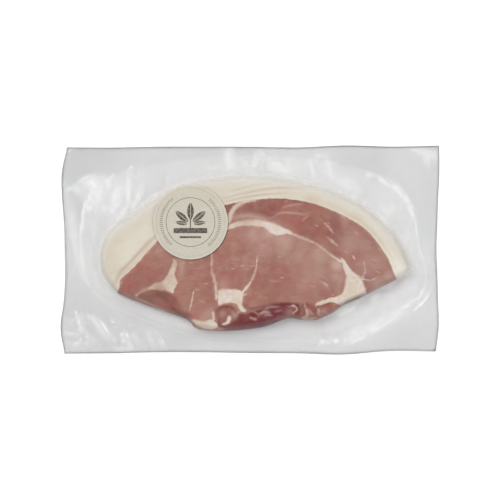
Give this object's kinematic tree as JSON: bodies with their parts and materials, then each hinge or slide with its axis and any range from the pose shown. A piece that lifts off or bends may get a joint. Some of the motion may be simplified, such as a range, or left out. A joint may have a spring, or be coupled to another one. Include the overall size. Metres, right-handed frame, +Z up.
{
  "type": "vacuum packed steak",
  "caption": "Clear vacuum pouch lying flat, its film clinging to a raw pork steak with a rim of fat, and a round paper label on the film.",
  "frame": {"origin": "middle of the pouch's box in plan, on the plane that its back lies on", "axes": "+X along the pouch's length, towards the steak's pointed end; +Y towards the steak's fat edge; +Z up, out of the labelled side"},
  "size_m": [0.25, 0.138, 0.0148],
  "materials": {
    "pouch": "meat seen through clear glossy film, both as one solid",
    "film": "clear, slightly cloudy film with a wet gloss and fine creases",
    "meat": "raw pork, moist, pink lean with cream fat and white seams",
    "label": "uncoated cream paper with dark brown print"
  },
  "bodies": {
    "root": {"pouch": "pouch", "label": "label"}
  },
  "joints": []
}
